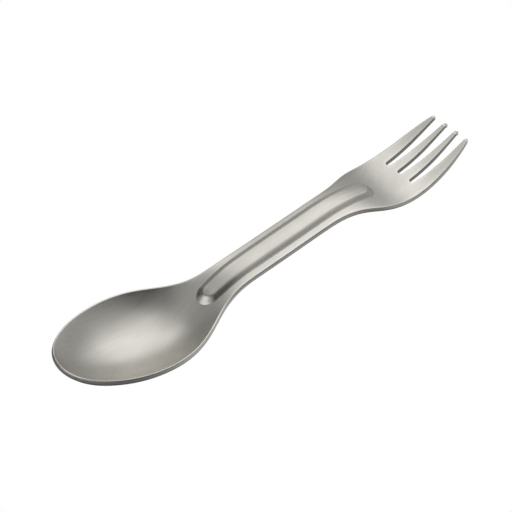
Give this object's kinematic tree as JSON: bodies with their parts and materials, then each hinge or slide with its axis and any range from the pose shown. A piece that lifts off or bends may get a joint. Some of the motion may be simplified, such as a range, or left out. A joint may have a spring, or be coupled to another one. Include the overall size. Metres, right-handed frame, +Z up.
{
  "type": "camping spoon-fork",
  "caption": "One-piece sheet-metal eating utensil with a spoon bowl at one end, a tined fork at the other and a raised stiffening rib along the handle between them.",
  "frame": {"origin": "centre of the bounding box in plan, at the level of the table the utensil rests on", "axes": "+X from the bowl towards the tine tips, +Y across the utensil, +Z up, out of the bowl's hollow"},
  "size_m": [0.1704, 0.0366, 0.0174],
  "materials": {
    "titanium": "satin bare titanium with fine brushing marks along the handle"
  },
  "bodies": {
    "root": {"spoon_fork": "titanium"}
  },
  "joints": []
}
